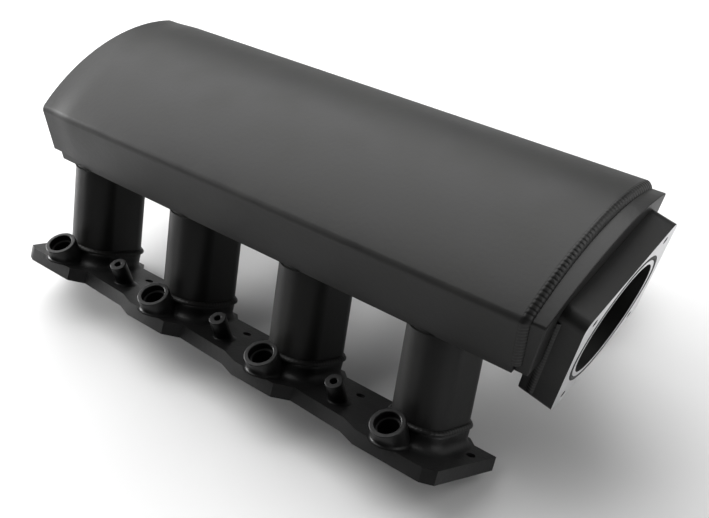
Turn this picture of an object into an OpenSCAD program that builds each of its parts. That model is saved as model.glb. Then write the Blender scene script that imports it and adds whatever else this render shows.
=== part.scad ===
// Fabricated aluminium intake manifold for a V8 engine.
// +X runs along the manifold to the throttle end, -Y is the near bank, +Z is up.
// The origin is under the middle of the manifold, level with the lowest edge of the head flanges.
// All sizes are in millimetres.

/* [Ports] */
// distance from one port to the next along a bank
port_pitch = 111.76; // [100:0.01:130]
// x of the rearmost port of the near bank
near_port_x = -198.35; // [-230:0.05:-150]
// how far the far bank sits behind the near bank
bank_stagger = 0; // [0:0.1:30]
// distance of each port's middle ahead of its injector
port_shift = 3; // [0:0.5:8]
// width of each port opening along the bank
port_w = 32; // [24:0.5:36]
// height of each port opening across the flange
port_h = 46; // [36:0.5:60]
// corner radius of each port opening
port_r = 8; // [3:0.5:12]

/* [Head flanges] */
// angle of the flange face, falling toward the middle of the engine
flange_tilt = 36; // [20:0.5:45]
// plate thickness
flange_t = 10; // [6:0.1:16]
// distance of the flange reference line from the middle of the manifold
flange_y = 104; // [90:0.5:120]
// reach of the plate inward between the ports
flange_in = 46.5; // [40:0.5:60]
// reach of the plate inward at each port
flange_lobe = 54; // [46:0.5:64]
// reach of the pads outward from the reference line
flange_pad = 20.5; // [15:0.5:30]
// reach of the plate outward between the pads
flange_out = 13.5; // [8:0.5:20]
// reach of the plate outward at the scallop beside each injector
flange_scallop = 10.5; // [6:0.5:15]
// where the cut between two pads starts, past the injector before it
relief_start = 18; // [10:0.5:25]
// where that cut reaches its full depth
relief_knee = 28; // [20:0.5:40]
// where that cut starts to run out
relief_rise = 75; // [60:0.5:85]
// where that cut ends
relief_end = 91.5; // [86:0.5:100]
// spread of each inward lobe beyond its foot at the root
lobe_root = 3; // [0:0.5:8]
// narrowing of each inward lobe at the tip
lobe_tip = 5; // [0:0.5:12]
// length of the cut corners at the ends of the plate
end_cut = 8; // [2:0.5:12]
// height of the cut corner at the rear end
rear_cut = 4; // [2:0.5:12]
// height of the cut corner at the front end
front_cut = 6; // [2:0.5:12]
// clearance hole radius for the head bolts
head_bolt_r = 3.3; // [2.5:0.05:5]
// distance of the head bolts inward from the reference line
head_bolt_in = 30; // [15:0.5:40]
// distance of the end head bolts beyond the nearest injector
head_bolt_end = 37.5; // [34:0.5:40]

/* [Port feet] */
// width of the raised foot round each port
foot_w = 48; // [40:0.5:56]
// length of the foot across the flange
foot_h = 55; // [44:0.5:64]
// height of the foot above the flange
foot_t = 12; // [6:0.5:20]
// corner radius of the foot
foot_r = 16; // [6:0.5:22]
// middle of the foot, inward from the reference line
foot_in = 24.5; // [10:0.5:34]

/* [Port seals] */
// width of the seal groove
seal_w = 2.4; // [1.5:0.1:4]
// depth of the seal groove
seal_depth = 2; // [1:0.1:4]
// wall between the port opening and the seal groove
seal_wall = 1.8; // [1:0.1:4]

/* [Injector bosses] */
// distance of the injectors from the middle of the manifold
injector_y = 110.8; // [100:0.1:125]
// height of the boss rim
injector_top = 62.95; // [50:0.05:75]
// outer radius of the boss
injector_r = 12; // [10:0.1:15]
// radius of the injector bore
injector_bore_r = 7; // [6:0.05:8]
// radius of the step at the mouth of the bore
injector_mouth_r = 8.8; // [8:0.1:10]
// depth of the step at the mouth of the bore
injector_mouth_depth = 5; // [2:0.5:8]
// height of the bottom of the bore
injector_bore_bottom = 39.15; // [38:0.05:44]
// start of the spray passage, above the bottom of the bore and inward of its axis
spray_start = 1; // [0:0.5:3]
// length of the spray passage, which ends inside the port
spray_len = 10; // [6:0.5:14]
// radius of the spray passage from the bore into the port
spray_r = 3.5; // [2:0.1:4]
// angle of the spray passage from upright
spray_lean = 45; // [30:1:50]

/* [Fuel rail posts] */
// distance of the posts from the middle of the manifold
post_y = 99.7; // [90:0.1:110]
// height of the top of the posts
post_top = 57.35; // [45:0.05:70]
// radius of the posts
post_r = 6.35; // [5:0.05:8]
// radius of the threaded hole for an M6 screw
post_hole_r = 2.5; // [2:0.05:4]
// depth of the threaded hole
post_hole_depth = 12; // [8:0.5:16]

/* [Runners] */
// outer width of the runner tubes along the bank
runner_w = 42; // [36:0.5:48]
// outer depth of the runner tubes across the bank
runner_d = 54; // [42:0.5:60]
// corner radius of the runner tubes on the side toward the middle of the manifold
runner_corner = 12; // [6:0.5:20]
// corner radius of the runner tubes on the outer side
runner_outer_corner = 19; // [6:0.5:20]
// wall of the runner tubes
runner_wall = 3.2; // [2:0.1:5]
// distance from the middle of the manifold to the middle of a runner at the plenum floor
runner_top_y = 35.6; // [30:0.1:50]
// lean of the runners from upright
runner_lean = 26.5; // [10:0.5:35]
// how far the runner tubes stand up into the plenum
runner_lip = 6; // [0:0.5:12]

/* [Plenum] */
// thickness of the folded cover sheet
sheet_t = 3.2; // [2:0.1:5]
// half width of the plenum
plenum_half = 70.5; // [60:0.5:85]
// height of the long edges of the lid
lid_edge_z = 160.45; // [140:0.05:175]
// rise of the arched lid above its long edges
lid_rise = 19.5; // [8:0.5:30]
// radius of the bend from the lid to the side rails
bend_r = 7; // [5:0.5:12]
// height of the side rails below the lid edges
rail_h = 42; // [30:0.5:60]
// thickness of the floor plate
floor_t = 8; // [4:0.5:12]
// step of the floor plate in from the side rails
floor_inset = 1.5; // [0:0.5:6]
// step of the floor plate in from the rear end
floor_rear_step = 9; // [0:0.5:15]
// x of the rear of the lid edges
rear_x = -221.25; // [-240:0.05:-190]
// x of the front of the lid edges
front_x = 215.75; // [200:0.05:240]
// lean of the rear end, top forward
rear_lean = 10; // [0:0.5:15]
// lean of the front cut of the plenum, top forward
front_lean = 12; // [0:0.5:18]
// thickness of the rear end plate
rear_t = 5; // [3:0.5:10]
// step of the rear plate in from the end of the cover
rear_step = 1.5; // [0:0.5:4]

/* [Throttle end] */
// nose-down pitch of the throttle face
throttle_pitch = 17.4; // [0:0.1:25]
// front plate thickness at the height of the lid edges
plate_n = 14; // [8:0.5:20]
// step of the front plate in from the lid surface
plate_inset = 4; // [0:0.5:8]
// thickness of the front plate's tongue behind the lower part of the throttle block
tongue_t = 8; // [4:0.5:12]
// front of the throttle block ahead of the lid edge line
block_front = 30.8; // [20:0.1:40]
// width of the throttle block
block_w = 104; // [85:0.5:115]
// height of the throttle block along the pitched face
block_h = 96; // [85:0.5:110]
// corner radius of the throttle block
block_r = 8; // [2:0.5:12]
// middle of the throttle bore below the lid edge line, along the pitched face
bore_drop = 44; // [35:0.1:50]
// radius of the throttle bore
bore_r = 39; // [35:0.5:46]
// step of the front plate's opening outward from the throttle bore
plate_bore_step = 1.5; // [0.5:0.1:4]
// inner radius of the O-ring groove
groove_in_r = 42.2; // [38:0.1:46]
// outer radius of the O-ring groove
groove_out_r = 45.4; // [40:0.1:50]
// depth of the O-ring groove
groove_depth = 2.6; // [1:0.1:4]
// half spacing of the throttle bolts
throttle_bolt_half = 39.5; // [34:0.1:42]
// radius of the threaded throttle bolt holes
throttle_bolt_r = 2.5; // [2:0.05:4]
// depth of the threaded throttle bolt holes
throttle_bolt_depth = 14; // [10:0.5:16]

/* [Rear fittings] */
// radius of the rear vacuum and sensor bungs
bung_r = 12; // [8:0.5:16]
// how far the bungs stand behind the rear plate
bung_len = 10; // [5:0.5:16]
// distance of each bung from the middle of the manifold
bung_y = 26; // [15:0.5:40]
// height of the bungs
bung_z = 142.5; // [120:0.5:155]
// radius of the hole in the vacuum bung
vacuum_r = 6.5; // [4:0.1:9]
// distance of the plug's outer face below the rim of its bung
plug_sunk = 1; // [0:0.5:3]
// radius of the hex socket in the plug, at its corners
socket_r = 4; // [2:0.5:5]
// depth of the hex socket
socket_depth = 5; // [3:0.5:8]
// radius of the hole in the pressure sensor bung
sensor_r = 5; // [3:0.1:8]

/* [Hidden] */
$fn = 64;
eps = 0.02;
far = 400;
ports = 4;
flange_z = flange_lobe * sin(flange_tilt) + flange_t * cos(flange_tilt);
flange_end_out = [36, 41.5];
flange_end_in = [48, 47.5];
rail_bottom = lid_edge_z - rail_h;
floor_bottom = rail_bottom - floor_t;
lid_r = (pow(plenum_half, 2) + pow(lid_rise, 2)) / (2 * lid_rise);

// Helpers

// places a near-bank piece on port i of a bank, where side 1 is near and side -1 is far
module at_port(side, i) {
    x = near_port_x - (side > 0 ? 0 : bank_stagger) + i * port_pitch;
    translate([x, 0, 0])
        mirror([0, side > 0 ? 0 : 1, 0])
            children();
}

// flange frame: x along the bank, y inward down the face, z out of the top of the flange
module on_flange() {
    translate([0, -flange_y, flange_z])
        rotate([-flange_tilt, 0, 0])
            children();
}

// throttle frame: x out of the face, z up the face, from the lid edge line
module on_throttle() {
    translate([front_x, 0, lid_edge_z])
        rotate([0, throttle_pitch, 0])
            children();
}

// rear end frame: x into the plenum, z up the end
module on_rear() {
    translate([rear_x, 0, lid_edge_z])
        rotate([0, rear_lean, 0])
            children();
}

// rectangle with round corners, centred
module round_rect(w, h, r) {
    square([w - 2 * r, h], center = true);
    square([w, h - 2 * r], center = true);
    for (sx = [-1, 1])
        for (sy = [-1, 1])
            translate([sx * (w / 2 - r), sy * (h / 2 - r)])
                circle(r);
}

// section of the plenum, set in by d from its outer surface
module plenum_section(d, bottom) {
    big = lid_r - d;
    bend = bend_r - d;
    half = plenum_half - d;
    centre_z = lid_edge_z + lid_rise - lid_r;
    reach = lid_r - bend_r;
    bend_y = plenum_half - bend_r;
    bend_z = centre_z + sqrt(pow(reach, 2) - pow(bend_y, 2));
    fan = 2 * lid_r / reach;
    intersection() {
        translate([0, centre_z])
            circle(big, $fn = 200);
        polygon([
            [0, centre_z],
            [-fan * bend_y, centre_z + fan * (bend_z - centre_z)],
            [fan * bend_y, centre_z + fan * (bend_z - centre_z)]
        ]);
        translate([-far, bend_z - 2 * bend_r])
            square([2 * far, far]);
    }
    for (s = [-1, 1])
        translate([s * bend_y, bend_z])
            circle(bend);
    translate([-half, bottom])
        square([2 * half, bend_z - bottom]);
}

// a YZ section run along the whole plenum
module along_x(from, to) {
    translate([from, 0, 0])
        rotate([90, 0, 90])
            linear_extrude(to - from)
                children();
}

// space between the rear end, moved in by d, and the front cut of the plenum
module plenum_span(d) {
    step = d / cos(rear_lean);
    low = lid_edge_z - 60;
    high = lid_edge_z + 40;
    translate([0, far / 2, 0])
        rotate([90, 0, 0])
            linear_extrude(far)
                polygon([
                    [rear_x + step + (low - lid_edge_z) * tan(rear_lean), low],
                    [front_x + (low - lid_edge_z) * tan(front_lean), low],
                    [front_x + (high - lid_edge_z) * tan(front_lean), high],
                    [rear_x + step + (high - lid_edge_z) * tan(rear_lean), high]
                ]);
}

// tube section of half width w and half depth d, with the outer side facing -y
module runner_section(w, d, inner_r, outer_r) {
    square([2 * (w - outer_r), 2 * d], center = true);
    translate([-w, outer_r - d])
        square([2 * w, 2 * d - outer_r - inner_r]);
    translate([inner_r - w, 0])
        square([2 * (w - inner_r), d]);
    for (s = [-1, 1]) {
        translate([s * (w - outer_r), outer_r - d])
            circle(outer_r);
        translate([s * (w - inner_r), d - inner_r])
            circle(inner_r);
    }
}

// bar along a near-bank runner, set in by d from its outside, reaching past both of its ends
module runner_bar(d) {
    translate([port_shift, -runner_top_y, rail_bottom])
        rotate([-runner_lean, 0, 0])
            translate([0, 0, -far / 3])
                linear_extrude(far / 2)
                    runner_section(runner_w / 2 - d, runner_d / 2 - d, runner_corner - d, runner_outer_corner - d);
}

// everything below a plane at height h over the flange
module below_flange(h) {
    on_flange()
        translate([-far, -far, h - far])
            cube([2 * far, 2 * far, far]);
}

// the port opening through the flange and the foot
module port_duct() {
    on_flange()
        translate([port_shift, foot_in - 1, -flange_t - eps])
            linear_extrude(flange_t + foot_t + 2 * eps)
                round_rect(port_w, port_h, port_r);
}

// bore for the injector, with the passage that it sprays through into the port
module injector_hole() {
    translate([0, -injector_y, injector_bore_bottom]) {
        cylinder(r = injector_bore_r, h = far / 4);
        translate([0, spray_start, spray_start])
            rotate([180 + spray_lean, 0, 0])
                cylinder(r = spray_r, h = spray_len);
    }
}

// ring of width seal_w round the port opening
module seal_ring(w, h) {
    grow = 2 * seal_wall;
    on_flange()
        translate([port_shift, foot_in - 1, -flange_t - eps])
            linear_extrude(h)
                difference() {
                    round_rect(port_w + grow + 2 * w, port_h + grow + 2 * w, port_r + seal_wall + w);
                    round_rect(port_w + grow, port_h + grow, port_r + seal_wall);
                }
}

// Plenum

module plenum_cover() {
    color("DimGray")
        intersection() {
            along_x(rear_x - 20, front_x + 20)
                difference() {
                    plenum_section(0, rail_bottom);
                    plenum_section(sheet_t, rail_bottom - 1);
                }
            plenum_span(0);
        }
}

module plenum_floor() {
    w = plenum_half - floor_inset;
    color("DimGray")
        difference() {
            intersection() {
                translate([rear_x - 20, -w, floor_bottom])
                    cube([front_x - rear_x + 40, 2 * w, floor_t]);
                plenum_span(floor_rear_step);
            }
            for (side = [1, -1])
                for (i = [0 : ports - 1])
                    at_port(side, i)
                        runner_bar(0);
        }
}

module rear_plate() {
    color("DimGray")
        difference() {
            intersection() {
                along_x(rear_x - 20, rear_x + 20)
                    plenum_section(sheet_t, rail_bottom);
                plenum_span(rear_step);
            }
            plenum_span(rear_step + rear_t);
            for (s = [-1, 1])
                on_rear_bung(s)
                    cylinder(r = bung_r - 2, h = 40, center = true);
        }
}

module front_plate() {
    color("DimGray")
        difference() {
            union() {
                intersection() {
                    along_x(front_x - 30, front_x + 40)
                        plenum_section(plate_inset, floor_bottom);
                    on_throttle()
                        translate([plate_n - far, -far / 2, -far / 2])
                            cube([far, far, far]);
                }
                intersection() {
                    throttle_slab(plate_n - tongue_t, tongue_t);
                    translate([0, -far / 2, -far + rail_bottom])
                        cube([far, far, far]);
                }
            }
            plenum_span(0);
            intersection() {
                throttle_bore(bore_r + plate_bore_step);
                translate([0, -far / 2, rail_bottom])
                    cube([far, far, far]);
            }
        }
}

// Throttle end

// slab with the outline of the throttle block, of thickness t from n ahead of the lid edge line
module throttle_slab(n, t) {
    on_throttle()
        translate([n, 0, -bore_drop])
            rotate([90, 0, 90])
                linear_extrude(t)
                    round_rect(block_w, block_h, block_r);
}

module throttle_bore(r) {
    on_throttle()
        translate([-25, 0, -bore_drop])
            rotate([0, 90, 0])
                cylinder(r = r, h = 70);
}

module throttle_flange() {
    color("Silver")
        difference() {
            throttle_slab(plate_n, block_front - plate_n);
            throttle_bore(bore_r);
            on_throttle()
                translate([block_front - groove_depth, 0, -bore_drop])
                    rotate([0, 90, 0])
                        difference() {
                            cylinder(r = groove_out_r, h = 10);
                            cylinder(r = groove_in_r, h = 10);
                        }
            for (sy = [-1, 1])
                for (sz = [-1, 1])
                    on_throttle()
                        translate([
                            block_front - throttle_bolt_depth,
                            sy * throttle_bolt_half,
                            sz * throttle_bolt_half - bore_drop
                        ])
                            rotate([0, 90, 0])
                                cylinder(r = throttle_bolt_r, h = far / 4);
        }
}

module throttle_o_ring() {
    mid_r = (groove_in_r + groove_out_r) / 2;
    cord_r = (groove_out_r - groove_in_r) / 2 - 0.1;
    color("Black")
        on_throttle()
            translate([block_front - groove_depth + cord_r, 0, -bore_drop])
                rotate([0, 90, 0])
                    rotate_extrude()
                        translate([mid_r, 0])
                            circle(cord_r);
}

// Head flanges

// plate outline in the flange frame, with x measured from the rearmost port
module flange_outline() {
    last = (ports - 1) * port_pitch;
    half = foot_w / 2;
    lobes = [for (i = [ports - 1 : -1 : 0]) each [
        [i * port_pitch + port_shift + half + lobe_root, flange_in],
        [i * port_pitch + port_shift + half - lobe_tip, flange_lobe],
        [i * port_pitch + port_shift - half + lobe_tip, flange_lobe],
        [i * port_pitch + port_shift - half - lobe_root, flange_in]
    ]];
    polygon(concat([
        [-flange_end_in[0], flange_in],
        [-flange_end_out[0], -flange_pad + rear_cut],
        [-flange_end_out[0] + end_cut, -flange_pad],
        [last + flange_end_out[1] - end_cut, -flange_pad],
        [last + flange_end_out[1], -flange_pad + front_cut],
        [last + flange_end_in[1], flange_in]
    ], lobes));
}

// cut between one pad and the next
module flange_relief() {
    polygon([
        [relief_start, -flange_pad - 5],
        [relief_start, -flange_pad],
        [relief_knee, -flange_scallop],
        [relief_rise, -flange_out],
        [relief_end, -flange_pad],
        [relief_end, -flange_pad - 5]
    ]);
}

module head_flange(side) {
    last = (ports - 1) * port_pitch;
    color("DimGray")
        difference() {
            at_port(side, 0)
                on_flange()
                    translate([0, 0, -flange_t])
                        linear_extrude(flange_t)
                            difference() {
                                flange_outline();
                                for (i = [0 : ports - 2])
                                    translate([i * port_pitch, 0])
                                        flange_relief();
                                for (x = [-head_bolt_end, last + head_bolt_end])
                                    translate([x, head_bolt_in])
                                        circle(head_bolt_r);
                                for (i = [0 : ports - 2])
                                    translate([(i + 0.5) * port_pitch, head_bolt_in])
                                        circle(head_bolt_r);
                            }
            for (i = [0 : ports - 1])
                at_port(side, i) {
                    port_duct();
                    injector_hole();
                    seal_ring(seal_w, seal_depth + eps);
                }
        }
}

module port_foot(side, i) {
    color("DimGray")
        at_port(side, i)
            difference() {
                on_flange()
                    translate([port_shift, foot_in, 0])
                        linear_extrude(foot_t)
                            round_rect(foot_w, foot_h, foot_r);
                port_duct();
                translate([0, -injector_y, 0])
                    cylinder(r = injector_r, h = far / 4);
            }
}

module port_seal(side, i) {
    color("Black")
        at_port(side, i)
            seal_ring(seal_w, seal_depth + eps);
}

module injector_boss(side, i) {
    color("DimGray")
        at_port(side, i)
            difference() {
                translate([0, -injector_y, 0])
                    cylinder(r = injector_r, h = injector_top);
                below_flange(0);
                injector_hole();
                translate([0, -injector_y, injector_top - injector_mouth_depth])
                    cylinder(r = injector_mouth_r, h = far / 4);
            }
}

module rail_post(side, i) {
    color("DimGray")
        at_port(side, i + 0.5)
            difference() {
                translate([0, -post_y, 0])
                    cylinder(r = post_r, h = post_top);
                below_flange(0);
                translate([0, -post_y, post_top - post_hole_depth])
                    cylinder(r = post_hole_r, h = far / 4);
            }
}

// Runners

module runner(side, i) {
    color("DimGray")
        at_port(side, i)
            difference() {
                runner_bar(0);
                runner_bar(runner_wall);
                below_flange(foot_t);
                translate([-far, -far, rail_bottom + runner_lip])
                    cube([2 * far, 2 * far, far]);
            }
}

// Rear fittings

// places a fitting on the rear plate, looking out of the rear
module on_rear_bung(s) {
    on_rear()
        translate([rear_step, s * bung_y, bung_z - lid_edge_z])
            rotate([0, -90, 0])
                children();
}

module bung(s, r) {
    color("Silver")
        on_rear_bung(s)
            difference() {
                union() {
                    cylinder(r = bung_r, h = bung_len);
                    translate([0, 0, -rear_t])
                        cylinder(r = bung_r - 2, h = rear_t + bung_len);
                }
                translate([0, 0, -far / 8])
                    cylinder(r = r, h = far / 4);
            }
}

module vacuum_bung() {
    bung(-1, vacuum_r);
}

module sensor_bung() {
    bung(1, sensor_r);
}

module vacuum_plug() {
    color("Silver")
        on_rear_bung(-1)
            difference() {
                translate([0, 0, -plug_sunk])
                    cylinder(r = vacuum_r, h = bung_len);
                translate([0, 0, bung_len - plug_sunk - socket_depth])
                    cylinder(r = socket_r, h = bung_len, $fn = 6);
            }
}

plenum_cover();
plenum_floor();
rear_plate();
front_plate();
throttle_flange();
throttle_o_ring();
head_flange(1);  // head_flange_near
head_flange(-1);  // head_flange_far
runner(1, 0);  // runner_near_1
runner(1, 1);  // runner_near_2
runner(1, 2);  // runner_near_3
runner(1, 3);  // runner_near_4
runner(-1, 0);  // runner_far_1
runner(-1, 1);  // runner_far_2
runner(-1, 2);  // runner_far_3
runner(-1, 3);  // runner_far_4
port_foot(1, 0);  // port_foot_near_1
port_foot(1, 1);  // port_foot_near_2
port_foot(1, 2);  // port_foot_near_3
port_foot(1, 3);  // port_foot_near_4
port_foot(-1, 0);  // port_foot_far_1
port_foot(-1, 1);  // port_foot_far_2
port_foot(-1, 2);  // port_foot_far_3
port_foot(-1, 3);  // port_foot_far_4
injector_boss(1, 0);  // injector_boss_near_1
injector_boss(1, 1);  // injector_boss_near_2
injector_boss(1, 2);  // injector_boss_near_3
injector_boss(1, 3);  // injector_boss_near_4
injector_boss(-1, 0);  // injector_boss_far_1
injector_boss(-1, 1);  // injector_boss_far_2
injector_boss(-1, 2);  // injector_boss_far_3
injector_boss(-1, 3);  // injector_boss_far_4
port_seal(1, 0);  // port_seal_near_1
port_seal(1, 1);  // port_seal_near_2
port_seal(1, 2);  // port_seal_near_3
port_seal(1, 3);  // port_seal_near_4
port_seal(-1, 0);  // port_seal_far_1
port_seal(-1, 1);  // port_seal_far_2
port_seal(-1, 2);  // port_seal_far_3
port_seal(-1, 3);  // port_seal_far_4
rail_post(1, 0);  // rail_post_near_1
rail_post(1, 1);  // rail_post_near_2
rail_post(1, 2);  // rail_post_near_3
rail_post(-1, 0);  // rail_post_far_1
rail_post(-1, 1);  // rail_post_far_2
rail_post(-1, 2);  // rail_post_far_3
vacuum_bung();
vacuum_plug();
sensor_bung();
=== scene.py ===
"""Looks of the fabricated intake manifold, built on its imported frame.

+X runs to the throttle end, -Y is the near bank, +Z is up. Sizes in the code are metres.
"""

import math

import bmesh
import bpy
from mathutils import Matrix, Vector


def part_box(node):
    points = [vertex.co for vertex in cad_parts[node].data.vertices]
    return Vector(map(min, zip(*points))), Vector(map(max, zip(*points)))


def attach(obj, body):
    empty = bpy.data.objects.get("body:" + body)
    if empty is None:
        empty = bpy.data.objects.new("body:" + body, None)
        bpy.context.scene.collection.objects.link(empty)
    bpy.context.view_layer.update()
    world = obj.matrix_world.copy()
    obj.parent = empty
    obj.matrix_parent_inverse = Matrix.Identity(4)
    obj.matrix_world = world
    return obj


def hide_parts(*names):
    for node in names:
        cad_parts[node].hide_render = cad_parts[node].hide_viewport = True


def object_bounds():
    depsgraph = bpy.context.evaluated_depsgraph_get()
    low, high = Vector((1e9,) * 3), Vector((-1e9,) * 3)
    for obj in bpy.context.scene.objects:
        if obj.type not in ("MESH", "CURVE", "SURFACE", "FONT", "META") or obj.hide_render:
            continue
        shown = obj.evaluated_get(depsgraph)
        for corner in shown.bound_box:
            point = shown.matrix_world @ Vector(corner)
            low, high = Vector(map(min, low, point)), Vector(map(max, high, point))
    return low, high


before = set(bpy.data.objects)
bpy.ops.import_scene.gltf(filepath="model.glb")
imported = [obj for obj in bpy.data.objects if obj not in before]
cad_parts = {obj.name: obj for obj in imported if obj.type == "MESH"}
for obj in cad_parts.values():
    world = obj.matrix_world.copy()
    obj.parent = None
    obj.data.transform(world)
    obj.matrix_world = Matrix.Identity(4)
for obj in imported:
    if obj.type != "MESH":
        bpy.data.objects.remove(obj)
cad_low, cad_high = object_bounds()

# --- sizes of the object -------------------------------------------------------------

PORTS = 4
NEAR = 1
FAR = -1

FLANGE_TILT = math.radians(36)
FLANGE_Y = 0.104
FLANGE_Z = 0.03983
FOOT_T = 0.012
FOOT_IN = 0.0245
FOOT_SIZE = (0.048, 0.055)
FOOT_CORNER = 0.016
PORT_SIZE = (0.032, 0.046)
PORT_CORNER = 0.008
PORT_OUTWARD = 0.001

INJECTOR_Y = 0.1108
INJECTOR_R = 0.012
INJECTOR_BORE_R = 0.007
INJECTOR_MOUTH_R = 0.0088
INJECTOR_MOUTH_DEPTH = 0.005
POST_Y = 0.0997
POST_R = 0.00635
POST_HOLE_R = 0.0025
POST_HOLE_DEPTH = 0.012

RUNNER_SIZE = (0.042, 0.054)
RUNNER_CORNER = 0.012
RUNNER_OUTER_CORNER = 0.019
RUNNER_WALL = 0.0032
RUNNER_TOP_Y = 0.0356
RUNNER_LEAN = math.radians(26.5)
RUNNER_LIP = 0.006

SHEET_T = 0.0032
PLENUM_HALF = 0.0705
LID_RISE = 0.0195
BEND_R = 0.007
RAIL_H = 0.042
FLOOR_T = 0.008
LID_EDGE_Z = cad_high.z - LID_RISE
RAIL_BOTTOM = LID_EDGE_Z - RAIL_H
FLOOR_BOTTOM = RAIL_BOTTOM - FLOOR_T
REAR_X = -0.22125
FRONT_X = 0.21575
REAR_LEAN = math.radians(10)
FRONT_LEAN = math.radians(12)

# slight inward roll of the cover near its rear end
ROLL_START = 0.010
ROLL_END = 0.034
ROLL_DEPTH = 0.0010
ROLL_STEP = 0.004
ROLL_RINGS = 13

THROTTLE_PITCH = math.radians(17.4)
PLATE_N = 0.014
BLOCK_FRONT = 0.0308
BLOCK_SIZE = (0.104, 0.096)
BORE_DROP = 0.044

# broken edges
COVER_EDGE = 0.0010
PLATE_EDGE = 0.0010
BLOCK_EDGE = 0.0012
FLOOR_EDGE = 0.0008
REAR_EDGE = 0.0004
BUNG_EDGE = 0.0006
PLUG_EDGE = 0.0004
TUBE_EDGE = 0.001
FOOT_EDGE = 0.0024
RIM_EDGE = 0.0007
BORE_EDGE = 0.0004

# fillets where one piece meets the next; a pair is (outer side, inner side)
TUBE_FOOT_FILLET = 0.0022
TUBE_TOP_FILLET = (0.0012, 0.0075)
FOOT_FILLET = (0.0075, 0.0016)
RING_FILLET = 0.0030
POST_FILLET = 0.0024

# weld beads, as (half of the width, height)
FRONT_BEAD = (0.0040, 0.0020)
REAR_BEAD = (0.0020, 0.0012)
BLOCK_BEAD = (0.0034, 0.0020)
FOOT_BEAD = (0.0022, 0.0010)
BEAD_PITCH = 0.0030
REAR_BEAD_PITCH = 0.0026
BEAD_INSET = 0.0030
FRONT_BEAD_AHEAD = 0.0018
REAR_BEAD_AHEAD = 0.0016
BLOCK_BEAD_SUNK = 0.0005
BLOCK_BEAD_INSIDE = 0.001
BLOCK_BEAD_FROM_LOW = 0.008
BLOCK_BEAD_FROM_TOP = 0.010
FOOT_BEAD_OUT = 0.0010
FOOT_BEAD_UP = 0.0008
BEAD_STEPS = 9
STEPS_PER_RIPPLE = 6
RIPPLE_BEND = 0.55
RIPPLE_DEPTH = 0.28
ROOT_WIDTH = 0.5
ROOT_DEPTH = 0.6

FLANGE_UP = Vector((0, math.sin(FLANGE_TILT), math.cos(FLANGE_TILT)))
FLANGE_INWARD = Vector((0, math.cos(FLANGE_TILT), -math.sin(FLANGE_TILT)))
FLANGE_ORIGIN = Vector((0, -FLANGE_Y, FLANGE_Z))
X_AXIS = Vector((1, 0, 0))
Y_AXIS = Vector((0, 1, 0))
Z_AXIS = Vector((0, 0, 1))


# --- materials -----------------------------------------------------------------------

# range of the noise that the colour and number ranges are spread over
NOISE_LOW = 0.3
NOISE_HIGH = 0.7


def new_material(name):
    """A node material, with its node tree and its shader."""
    mat = bpy.data.materials.new(name)
    mat.use_nodes = True
    tree = mat.node_tree
    return mat, tree, tree.nodes["Principled BSDF"]


def noise(tree, scale, detail):
    """Noise in the object's own space."""
    coords = tree.nodes.new("ShaderNodeTexCoord")
    tex = tree.nodes.new("ShaderNodeTexNoise")
    tex.inputs["Scale"].default_value = scale
    tex.inputs["Detail"].default_value = detail
    tree.links.new(coords.outputs["Object"], tex.inputs["Vector"])
    return tex.outputs["Fac"]


def colour_range(tree, value, dark, light):
    """Colour between dark and light, driven by value."""
    ramp = tree.nodes.new("ShaderNodeValToRGB")
    ramp.color_ramp.elements[0].position = NOISE_LOW
    ramp.color_ramp.elements[0].color = (*dark, 1)
    ramp.color_ramp.elements[1].position = NOISE_HIGH
    ramp.color_ramp.elements[1].color = (*light, 1)
    tree.links.new(value, ramp.inputs["Fac"])
    return ramp.outputs["Color"]


def number_range(tree, value, low, high):
    """Number between low and high, driven by value."""
    node = tree.nodes.new("ShaderNodeMapRange")
    node.inputs["From Min"].default_value = NOISE_LOW
    node.inputs["From Max"].default_value = NOISE_HIGH
    node.inputs["To Min"].default_value = low
    node.inputs["To Max"].default_value = high
    tree.links.new(value, node.inputs["Value"])
    return node.outputs["Result"]


def bump(tree, height, depth, strength, before=None):
    """Relief of the surface, on top of an earlier relief if there is one."""
    node = tree.nodes.new("ShaderNodeBump")
    node.inputs["Distance"].default_value = depth
    node.inputs["Strength"].default_value = strength
    tree.links.new(height, node.inputs["Height"])
    if before:
        tree.links.new(before, node.inputs["Normal"])
    return node.outputs["Normal"]


def coating(name, dark, light, rough, grain):
    """Satin black coating, with a fine grain and slow changes of sheen."""
    mat, tree, shader = new_material(name)
    cloudy = noise(tree, 28, 4)
    fine = noise(tree, 1500, 2)
    peel = noise(tree, 320, 2)
    tree.links.new(colour_range(tree, cloudy, dark, light), shader.inputs["Base Color"])
    tree.links.new(number_range(tree, cloudy, *rough), shader.inputs["Roughness"])
    relief = bump(tree, fine, 0.00012, grain)
    tree.links.new(bump(tree, peel, 0.0003, grain, relief), shader.inputs["Normal"])
    shader.inputs["Specular IOR Level"].default_value = 0.22
    return mat


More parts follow.
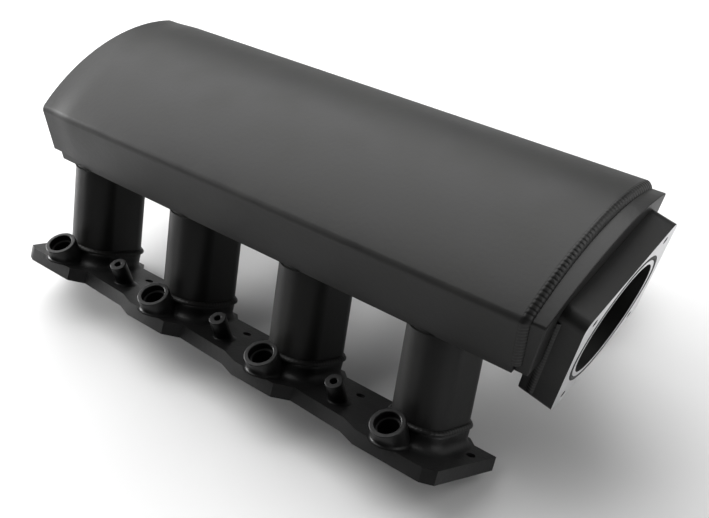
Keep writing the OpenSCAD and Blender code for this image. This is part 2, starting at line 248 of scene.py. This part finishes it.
def machined():
    """Bright face with the fine rings that a cutter leaves round the bore."""
    mat, tree, shader = new_material("machined_face")
    coords = tree.nodes.new("ShaderNodeTexCoord")
    turn = tree.nodes.new("ShaderNodeMapping")
    turn.vector_type = "TEXTURE"
    turn.inputs["Location"].default_value = throttle_point(BLOCK_FRONT, 0, -BORE_DROP)
    turn.inputs["Rotation"].default_value = (0, THROTTLE_PITCH, 0)
    rings = tree.nodes.new("ShaderNodeTexWave")
    rings.wave_type = "RINGS"
    rings.rings_direction = "X"
    rings.inputs["Scale"].default_value = 420
    rings.inputs["Distortion"].default_value = 0.6
    tree.links.new(coords.outputs["Object"], turn.inputs["Vector"])
    tree.links.new(turn.outputs["Vector"], rings.inputs["Vector"])
    stain = noise(tree, 40, 4)
    colour = colour_range(tree, stain, (0.55, 0.55, 0.56), (0.68, 0.68, 0.69))
    tree.links.new(colour, shader.inputs["Base Color"])
    tree.links.new(number_range(tree, stain, 0.34, 0.46), shader.inputs["Roughness"])
    relief = bump(tree, rings.outputs["Fac"], 0.00005, 0.35)
    tree.links.new(relief, shader.inputs["Normal"])
    shader.inputs["Metallic"].default_value = 1.0
    return mat


def metal(name, dark, light, rough):
    """Plain metal with a light grain."""
    mat, tree, shader = new_material(name)
    grain = noise(tree, 420, 4)
    tree.links.new(colour_range(tree, grain, dark, light), shader.inputs["Base Color"])
    tree.links.new(number_range(tree, grain, *rough), shader.inputs["Roughness"])
    tree.links.new(bump(tree, grain, 0.00008, 0.3), shader.inputs["Normal"])
    shader.inputs["Metallic"].default_value = 1.0
    return mat


def rubber():
    """Matt moulded rubber."""
    mat, tree, shader = new_material("seal_rubber")
    grain = noise(tree, 700, 3)
    colour = colour_range(tree, grain, (0.010, 0.010, 0.010), (0.020, 0.020, 0.021))
    tree.links.new(colour, shader.inputs["Base Color"])
    tree.links.new(number_range(tree, grain, 0.62, 0.8), shader.inputs["Roughness"])
    tree.links.new(bump(tree, grain, 0.0001, 0.3), shader.inputs["Normal"])
    return mat


def throttle_point(out, across, up):
    """Point in the pitched frame of the throttle face, from the lid edge line."""
    c = math.cos(THROTTLE_PITCH)
    s = math.sin(THROTTLE_PITCH)
    return Vector((FRONT_X + out * c + up * s, across, LID_EDGE_Z - out * s + up * c))


BLACK = coating("satin_black", (0.009, 0.009, 0.009), (0.013, 0.013, 0.012), (0.42, 0.50), 0.25)
CAST = coating(
    "satin_black_coarse", (0.005, 0.005, 0.005), (0.009, 0.009, 0.009), (0.38, 0.52), 0.5
)
WELD = coating("weld_black", (0.008, 0.008, 0.008), (0.013, 0.013, 0.012), (0.36, 0.48), 0.2)
FACE = machined()
STEEL = metal("plug_steel", (0.38, 0.38, 0.39), (0.5, 0.5, 0.51), (0.28, 0.4))
RUBBER = rubber()


# --- mesh helpers --------------------------------------------------------------------

# how a CAD shape is cleaned before its edges are broken
MERGE_DISTANCE = 2e-6
FLAT_ANGLE = math.radians(0.6)
CORNER_ANGLE = math.radians(28)


def add_piece(name, bm, materials, nodes, sharp):
    """A new piece from bm that rides on the frame and stands for the named CAD nodes.

    Edges that turn by more than sharp degrees stay sharp.
    """
    bmesh.ops.recalc_face_normals(bm, faces=bm.faces)
    mesh = bpy.data.meshes.new(name)
    bm.to_mesh(mesh)
    bm.free()
    for mat in materials:
        mesh.materials.append(mat)
    mesh.polygons.foreach_set("use_smooth", [True] * len(mesh.polygons))
    mesh.set_sharp_from_angle(angle=math.radians(sharp))
    piece = bpy.data.objects.new(name, mesh)
    weights = piece.modifiers.new("flat_faces", "WEIGHTED_NORMAL")
    weights.keep_sharp = True
    bpy.context.scene.collection.objects.link(piece)
    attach(piece, "root")
    if nodes:
        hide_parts(*nodes)


def sided(point, side):
    """The point on the near bank, or its mirror image on the far bank."""
    return Vector((point.x, point.y * side, point.z))


def skin(bm, rings, side=NEAR, closed=True):
    """Quads between rings of points. The last ring joins the first, or both ends are capped."""
    rows = [[bm.verts.new(sided(p, side)) for p in ring] for ring in rings]
    count = len(rows[0])
    last = len(rows) if closed else len(rows) - 1
    for j in range(last):
        a = rows[j]
        b = rows[(j + 1) % len(rows)]
        for k in range(count):
            n = (k + 1) % count
            bm.faces.new((a[k], a[n], b[n], b[k]))
    if not closed:
        bm.faces.new(rows[0])
        bm.faces.new(rows[-1])


def round_outline(w, h, inner_r, outer_r=None, steps=10):
    """Rectangle with round corners, as (point, outward normal) pairs. Its outer side faces -y."""
    if outer_r is None:
        outer_r = inner_r
    out = []
    for cx, cy, first in ((1, 1, 0), (-1, 1, 90), (-1, -1, 180), (1, -1, 270)):
        r = inner_r if cy > 0 else outer_r
        for k in range(steps + 1):
            a = math.radians(first + 90 * k / steps)
            n = Vector((math.cos(a), math.sin(a)))
            out.append((Vector((cx * (w / 2 - r), cy * (h / 2 - r))) + n * r, n))
    return out


def circle_outline(r, steps=48):
    """Circle, as (point, outward normal) pairs."""
    out = []
    for k in range(steps):
        a = 2 * math.pi * k / steps
        n = Vector((math.cos(a), math.sin(a)))
        out.append((n * r, n))
    return out


def ring_on(outline, grow, axes, plane, away):
    """Ring where the outline's bar, grown outward, is a set distance away from a plane."""
    origin, ex, ey, ez = axes
    base, normal = plane
    ring = []
    for p, n in outline:
        flat = origin + ex * (p.x + n.x * grow) + ey * (p.y + n.y * grow)
        h = (away - (flat - base).dot(normal)) / ez.dot(normal)
        ring.append(flat + ez * h)
    return ring


def fillet(outline, axes, plane, r, inner=None, steps=7):
    """Rings of a fillet, from the plane up to the plain bar. inner is the inner side's radius."""
    if inner is None:
        inner = r
    rings = []
    for k in range(steps + 1):
        a = math.radians(90 * k / steps)
        out = 1 - math.sin(a)
        up = 1 - math.cos(a)
        ring = []
        for p, n in outline:
            share = 0.5 + 0.5 * n.y
            size = r + (inner - r) * share * share
            ring += ring_on([(p, n)], size * out, axes, plane, size * up)
        rings.append(ring)
    return rings


def rounded_end(outline, axes, plane, r, steps=4):
    """Rings of a rounded outer edge, from the plain bar to an end on the plane."""
    rings = []
    for k in range(steps + 1):
        a = math.radians(90 * k / steps)
        rings.append(ring_on(outline, -r * (1 - math.cos(a)), axes, plane, -r * (1 - math.sin(a))))
    return rings


def weld_bead(name, path, normals, size, closed, side=NEAR, pitch=BEAD_PITCH):
    """Bead with the overlapping crescents of a hand-made weld, along a path."""
    half, height = size
    samples, ups = resample(path, normals, pitch / STEPS_PER_RIPPLE, closed)
    rings = []
    count = len(samples)
    for i in range(count):
        before = samples[(i - 1) % count] if closed else samples[max(i - 1, 0)]
        after = samples[(i + 1) % count] if closed else samples[min(i + 1, count - 1)]
        along = (after - before).normalized()
        up = (ups[i] - along * ups[i].dot(along)).normalized()
        across = along.cross(up)
        ring = []
        for k in range(BEAD_STEPS):
            u = -1 + 2 * k / (BEAD_STEPS - 1)
            phase = (i / STEPS_PER_RIPPLE + RIPPLE_BEND * u * u) % 1
            wave = 1 - RIPPLE_DEPTH * (1 - math.sqrt(max(0.0, 1 - phase * phase)))
            rise = height * wave * math.sqrt(max(0.0, 1 - u * u))
            ring.append(samples[i] + across * (u * half) + up * rise)
        root = samples[i] - up * (height * ROOT_DEPTH)
        ring.append(root + across * (half * ROOT_WIDTH))
        ring.append(root - across * (half * ROOT_WIDTH))
        rings.append(ring)
    bm = bmesh.new()
    skin(bm, rings, side, closed)
    add_piece(name, bm, [WELD], [], sharp=60)


def resample(path, normals, step, closed):
    """Evenly spaced points and normals along a path, a whole number of ripples long."""
    pts = list(path)
    ups = list(normals)
    if closed:
        pts.append(pts[0])
        ups.append(ups[0])
    lengths = [0.0]
    for a, b in zip(pts, pts[1:]):
        lengths.append(lengths[-1] + (b - a).length)
    count = round(lengths[-1] / step / STEPS_PER_RIPPLE) * STEPS_PER_RIPPLE
    total = count if closed else count + 1
    out = []
    out_ups = []
    seg = 0
    for i in range(total):
        s = lengths[-1] * i / count
        while seg < len(pts) - 2 and lengths[seg + 1] < s:
            seg += 1
        span = lengths[seg + 1] - lengths[seg]
        t = (s - lengths[seg]) / span if span > 0 else 0
        out.append(pts[seg].lerp(pts[seg + 1], t))
        out_ups.append(ups[seg].lerp(ups[seg + 1], t).normalized())
    return out, out_ups


def finished_copy(node, radius, materials, paint=None):
    """The CAD node's shape with its sharp edges broken, as a new piece.

    paint gives each face the number of its material.
    """
    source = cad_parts[node]
    bm = bmesh.new()
    bm.from_mesh(source.data)
    bm.transform(source.matrix_world)
    bmesh.ops.remove_doubles(bm, verts=bm.verts, dist=MERGE_DISTANCE)
    bmesh.ops.dissolve_limit(bm, angle_limit=FLAT_ANGLE, verts=bm.verts, edges=bm.edges)
    corners = [e for e in bm.edges if e.is_manifold and e.calc_face_angle(0) > CORNER_ANGLE]
    bmesh.ops.bevel(
        bm,
        geom=corners,
        offset=radius,
        offset_type="OFFSET",
        segments=2,
        profile=0.5,
        affect="EDGES",
        clamp_overlap=True,
    )
    if paint:
        bm.normal_update()
        for face in bm.faces:
            face.material_index = paint(face)
    add_piece(node + "_finished", bm, materials, [node], sharp=40)


# --- plenum --------------------------------------------------------------------------

LID_R = (PLENUM_HALF**2 + LID_RISE**2) / (2 * LID_RISE)
LID_CENTRE_Z = LID_EDGE_Z + LID_RISE - LID_R
BEND_Y = PLENUM_HALF - BEND_R
BEND_Z = LID_CENTRE_Z + math.sqrt((LID_R - BEND_R) ** 2 - BEND_Y**2)
RAIL_STEPS = 5
BEND_STEPS = 10
LID_STEPS = 24


def plenum_section(inset, bottom):
    """Open section from the near rail over the lid, as (point, normal) pairs in YZ."""
    swing = math.atan2(BEND_Y, BEND_Z - LID_CENTRE_Z)
    half = []
    for k in range(RAIL_STEPS):
        z = bottom + (BEND_Z - bottom) * k / RAIL_STEPS
        half.append((Vector((-(PLENUM_HALF - inset), z)), Vector((-1, 0))))
    for k in range(BEND_STEPS + 1):
        a = math.pi / 2 - (math.pi / 2 - swing) * k / BEND_STEPS
        n = Vector((-math.sin(a), math.cos(a)))
        half.append((Vector((-BEND_Y, BEND_Z)) + n * (BEND_R - inset), n))
    for k in range(1, LID_STEPS + 1):
        a = swing * (1 - k / LID_STEPS)
        n = Vector((-math.sin(a), math.cos(a)))
        half.append((Vector((0, LID_CENTRE_Z)) + n * (LID_R - inset), n))
    other = [(Vector((-p.x, p.y)), Vector((-n.x, n.y))) for p, n in reversed(half[:-1])]
    return half + other


def rear_at(z):
    """x of the leaning rear end at a height."""
    return REAR_X + (z - LID_EDGE_Z) * math.tan(REAR_LEAN)


def front_at(z):
    """x of the leaning front cut at a height."""
    return FRONT_X + (z - LID_EDGE_Z) * math.tan(FRONT_LEAN)


def rear_roll(d):
    """How far the cover's skin rolls inward at a distance from its rear end."""
    t = min(1.0, max(0.0, (ROLL_END - d) / (ROLL_END - ROLL_START)))
    return ROLL_DEPTH * t * t * (3 - 2 * t)


def cover_ring(d, from_front, inset):
    """Closed section of the cover sheet at a distance from one of its leaning ends."""
    roll = 0 if from_front else rear_roll(d)
    outer = plenum_section(inset + roll, RAIL_BOTTOM + inset)
    inner = plenum_section(SHEET_T - inset, RAIL_BOTTOM + inset)
    ring = []
    for p, _ in outer + list(reversed(inner)):
        x = front_at(p.y) - d if from_front else rear_at(p.y) + d
        ring.append(Vector((x, p.x, p.y)))
    return ring


def make_cover():
    """Folded sheet cover, with broken edges and a slight roll near its rear end."""
    edge = [(0.0, COVER_EDGE), (0.4 * COVER_EDGE, 0.4 * COVER_EDGE), (COVER_EDGE, 0.0)]
    rings = [cover_ring(d, False, inset) for d, inset in edge]
    rings += [cover_ring(ROLL_STEP * k, False, 0.0) for k in range(1, ROLL_RINGS + 1)]
    rings += [cover_ring(d, True, inset) for d, inset in reversed(edge)]
    bm = bmesh.new()
    rows = [[bm.verts.new(p) for p in ring] for ring in rings]
    count = len(rows[0])
    for a, b in zip(rows, rows[1:]):
        for k in range(count):
            n = (k + 1) % count
            bm.faces.new((a[k], a[n], b[n], b[k]))
    for row in (rows[0], rows[-1]):
        for k in range(count // 2 - 1):
            bm.faces.new((row[k], row[k + 1], row[count - 2 - k], row[count - 1 - k]))
    add_piece("cover_sheet", bm, [BLACK], ["plenum_cover"], sharp=30)


def section_path(inset, bottom, x_at, shift, facing):
    """Path and normals of a weld round the plenum. facing is 1 to the front, -1 to the rear."""
    path = []
    normals = []
    for p, n in plenum_section(inset, bottom):
        path.append(Vector((x_at(p.y) + shift, p.x, p.y)))
        normals.append(Vector((facing, n.x, n.y)).normalized())
    return path, normals


def make_plenum():
    """Cover, floor and end plates, with the beads that close both ends."""
    make_cover()
    finished_copy("plenum_floor", FLOOR_EDGE, [BLACK])
    finished_copy("rear_plate", REAR_EDGE, [BLACK])
    finished_copy("front_plate", PLATE_EDGE, [BLACK])
    bead_start = RAIL_BOTTOM + COVER_EDGE
    path, normals = section_path(BEAD_INSET, bead_start, front_at, FRONT_BEAD_AHEAD, 1)
    weld_bead("weld_front", path, normals, FRONT_BEAD, False)
    path, normals = section_path(BEAD_INSET, bead_start, rear_at, REAR_BEAD_AHEAD, -1)
    weld_bead("weld_rear", path, normals, REAR_BEAD, False, pitch=REAR_BEAD_PITCH)


def make_throttle():
    """Throttle block with its bright face, and the beads that hold its sides."""
    axis = Vector((math.cos(THROTTLE_PITCH), 0, -math.sin(THROTTLE_PITCH)))
    front = throttle_point(BLOCK_FRONT - BLOCK_EDGE, 0, 0).dot(axis)

    def paint(face):
        bright = face.normal.dot(axis) > 0.6 and face.calc_center_median().dot(axis) > front
        return 1 if bright else 0

    finished_copy("throttle_flange", BLOCK_EDGE, [BLACK, FACE], paint)
    seam = PLATE_N - BLOCK_BEAD_SUNK
    across = BLOCK_BEAD_INSIDE - BLOCK_SIZE[0] / 2
    reach = BLOCK_SIZE[1] / 2
    low = throttle_point(seam, across, BLOCK_BEAD_FROM_LOW - reach - BORE_DROP)
    high = throttle_point(seam, across, reach - BLOCK_BEAD_FROM_TOP - BORE_DROP)
    facing = (Vector((0, -1, 0)) - axis * 0.3).normalized()
    for side, label in ((NEAR, "near"), (FAR, "far")):
        weld_bead("weld_block_" + label, [low, high], [facing, facing], BLOCK_BEAD, False, side)


# --- banks ---------------------------------------------------------------------------


def flange_plane(height):
    """Plane at a height over the top of the near flange."""
    return FLANGE_ORIGIN + FLANGE_UP * height, FLANGE_UP


def middle_x(node):
    """x of the middle of a CAD node."""
    low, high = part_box(node)
    return (low[0] + high[0]) / 2


def runner_outline(inset):
    """Section of a runner tube, inset from its outer surface."""
    w, d = RUNNER_SIZE
    corner = RUNNER_CORNER - inset
    return round_outline(w - 2 * inset, d - 2 * inset, corner, RUNNER_OUTER_CORNER - inset)


def make_runner(label, side, i):
    """Rounded rectangular tube, flared into its foot and into the plenum floor."""
    node = f"runner_{label}_{i}"
    x = middle_x(node)
    axes = (
        Vector((x, -RUNNER_TOP_Y, RAIL_BOTTOM)),
        X_AXIS,
        Vector((0, math.cos(RUNNER_LEAN), -math.sin(RUNNER_LEAN))),
        Vector((0, math.sin(RUNNER_LEAN), math.cos(RUNNER_LEAN))),
    )
    outer = runner_outline(0)
    inner = runner_outline(RUNNER_WALL)
    foot = flange_plane(FOOT_T)
    ceiling = (Vector((0, 0, FLOOR_BOTTOM)), -Z_AXIS)
    mouth = (Vector((0, 0, RAIL_BOTTOM + RUNNER_LIP)), Z_AXIS)
    rings = fillet(outer, axes, foot, TUBE_FOOT_FILLET)
    rings += list(reversed(fillet(outer, axes, ceiling, *TUBE_TOP_FILLET)))
    rings.append(ring_on(outer, 0, axes, ceiling, 0))
    rings += rounded_end(outer, axes, mouth, TUBE_EDGE)
    rings.append(ring_on(inner, 0, axes, mouth, 0))
    rings.append(ring_on(inner, 0, axes, foot, 0))
    bm = bmesh.new()
    skin(bm, rings, side)
    add_piece(f"tube_{label}_{i}", bm, [BLACK], [node], sharp=50)
    path = ring_on(outer, FOOT_BEAD_OUT, axes, foot, FOOT_BEAD_UP)
    middle = sum(path, Vector()) / len(path)
    ups = [((p - middle).normalized() + FLANGE_UP).normalized() for p in path]
    weld_bead(f"weld_foot_{label}_{i}", path, ups, FOOT_BEAD, True, side)


def make_foot(label, side, i):
    """Pad that flares into the flange, with the port opening through it."""
    node = f"port_foot_{label}_{i}"
    x = middle_x(node)
    centre = FLANGE_ORIGIN + X_AXIS * x + FLANGE_INWARD * FOOT_IN
    axes = (centre, X_AXIS, FLANGE_INWARD, FLANGE_UP)
    outer = round_outline(*FOOT_SIZE, FOOT_CORNER)
    rings = fillet(outer, axes, flange_plane(0), *FOOT_FILLET)
    rings += rounded_end(outer, axes, flange_plane(FOOT_T), FOOT_EDGE)
    duct = round_outline(*PORT_SIZE, PORT_CORNER)
    duct_axes = (centre - FLANGE_INWARD * PORT_OUTWARD, X_AXIS, FLANGE_INWARD, FLANGE_UP)
    rings.append(ring_on(duct, 0, duct_axes, flange_plane(FOOT_T), 0))
    rings.append(ring_on(duct, 0, duct_axes, flange_plane(0), 0))
    bm = bmesh.new()
    skin(bm, rings, side)
    add_piece(f"foot_{label}_{i}", bm, [CAST], [node], sharp=50)


def make_round(node, y, r, base_fillet, bores):
    """Rings and axes of an upright round boss on the flange.

    bores are (radius, depth) from the mouth down. A depth of 0 leaves the bore open.
    """
    axes = (Vector((middle_x(node), -y, 0)), X_AXIS, Y_AXIS, Z_AXIS)
    rim = (Vector((0, 0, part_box(node)[1][2])), Z_AXIS)
    rings = fillet(circle_outline(r), axes, flange_plane(0), base_fillet)
    rings += rounded_end(circle_outline(r), axes, rim, RIM_EDGE)
    depth = 0.0
    for bore_r, bore_depth in bores:
        hole = circle_outline(bore_r)
        rings.append(ring_on(hole, BORE_EDGE, axes, rim, -depth))
        rings.append(ring_on(hole, 0, axes, rim, -depth - BORE_EDGE))
        depth = bore_depth
        if depth:
            rings.append(ring_on(hole, 0, axes, rim, -depth))
    return rings, axes


def make_injector(label, side, i):
    """Stepped ring that takes an injector, open into the flange below."""
    node = f"injector_boss_{label}_{i}"
    bores = ((INJECTOR_MOUTH_R, INJECTOR_MOUTH_DEPTH), (INJECTOR_BORE_R, 0))
    rings, axes = make_round(node, INJECTOR_Y, INJECTOR_R, RING_FILLET, bores)
    rings.append(ring_on(circle_outline(INJECTOR_BORE_R), 0, axes, flange_plane(0), 0))
    bm = bmesh.new()
    skin(bm, rings, side)
    add_piece(f"injector_ring_{label}_{i}", bm, [CAST], [node], sharp=40)


def make_post(label, side, i):
    """Slim post with a blind hole for a rail screw."""
    node = f"rail_post_{label}_{i}"
    bores = ((POST_HOLE_R, POST_HOLE_DEPTH),)
    rings, axes = make_round(node, POST_Y, POST_R, POST_FILLET, bores)
    bm = bmesh.new()
    skin(bm, rings, side, closed=False)
    add_piece(f"post_{label}_{i}", bm, [CAST], [node], sharp=40)


def make_bank(label, side):
    """One head flange with everything that stands on it."""
    finished_copy(f"head_flange_{label}", PLATE_EDGE, [CAST])
    for i in range(1, PORTS + 1):
        make_foot(label, side, i)
        make_runner(label, side, i)
        make_injector(label, side, i)
    for i in range(1, PORTS):
        make_post(label, side, i)


make_plenum()
make_throttle()
make_bank("near", NEAR)
make_bank("far", FAR)
finished_copy("vacuum_bung", BUNG_EDGE, [BLACK])
finished_copy("sensor_bung", BUNG_EDGE, [BLACK])
finished_copy("vacuum_plug", PLUG_EDGE, [STEEL])

# seals keep their CAD shape
for seal in [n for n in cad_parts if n.startswith("port_seal") or n == "throttle_o_ring"]:
    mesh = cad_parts[seal].data
    mesh.materials.clear()
    mesh.materials.append(RUBBER)


# --- studio --------------------------------------------------------------------------


def make_floor():
    """Wide pale floor under the manifold."""
    bm = bmesh.new()
    bmesh.ops.create_grid(bm, x_segments=4, y_segments=4, size=6)
    mesh = bpy.data.meshes.new("studio_floor")
    bm.to_mesh(mesh)
    bm.free()
    mat, tree, shader = new_material("pale_floor")
    cloudy = noise(tree, 3, 3)
    pale = colour_range(tree, cloudy, (0.60, 0.60, 0.60), (0.64, 0.64, 0.64))
    tree.links.new(pale, shader.inputs["Base Color"])
    shader.inputs["Roughness"].default_value = 0.7
    mesh.materials.append(mat)
    floor = bpy.data.objects.new("studio_floor", mesh)
    bpy.context.scene.collection.objects.link(floor)


def area_light(name, place, target, size, power):
    """Soft rectangular light that faces a target, with its longer side level."""
    light = bpy.data.lights.new(name, "AREA")
    light.shape = "RECTANGLE"
    light.size, light.size_y = size
    light.energy = power
    lamp = bpy.data.objects.new(name, light)
    lamp.location = place
    lamp.rotation_euler = (Vector(target) - Vector(place)).to_track_quat("-Z", "Y").to_euler()
    bpy.context.scene.collection.objects.link(lamp)


def make_studio():
    """Floor, soft lights and a faint even surround."""
    make_floor()
    area_light("top_light", (-0.75, 0.55, 1.6), (0, 0, 0.15), (2.6, 2.6), 90)
    area_light("left_light", (-1.9, -0.3, 0.35), (0, 0, 0.06), (0.6, 0.6), 55)
    area_light("back_light", (1.7, 1.5, 1.2), (0, 0, 0.1), (1.4, 1.4), 26)
    area_light("face_light", (1.6, 0.2, 0.3), (0.2, 0, 0.1), (0.8, 0.8), 6)
    world = bpy.data.worlds.new("studio")
    world.use_nodes = True
    back = world.node_tree.nodes["Background"]
    back.inputs["Color"].default_value = (1, 1, 1, 1)
    back.inputs["Strength"].default_value = 0.05
    bpy.context.scene.world = world
    bpy.context.scene.view_settings.view_transform = "Standard"


CAMERA_PLACE = (0.47336, -0.41224, 0.60624)
CAMERA_RIGHT = (0.75780, 0.63362, -0.15575)
CAMERA_UP = (-0.34414, 0.59094, 0.72962)
CAMERA_BACK = (0.55434, -0.49931, 0.66588)


def make_camera():
    """Camera above the throttle end of the near bank."""
    data = bpy.data.cameras.new("camera")
    data.lens = 56.59
    data.sensor_width = 36
    data.clip_start = 0.01
    camera = bpy.data.objects.new("camera", data)
    turn = Matrix((CAMERA_RIGHT, CAMERA_UP, CAMERA_BACK)).transposed().to_4x4()
    camera.matrix_world = Matrix.Translation(CAMERA_PLACE) @ turn
    bpy.context.scene.collection.objects.link(camera)
    bpy.context.scene.camera = camera


make_studio()
make_camera()

bpy.context.view_layer.update()
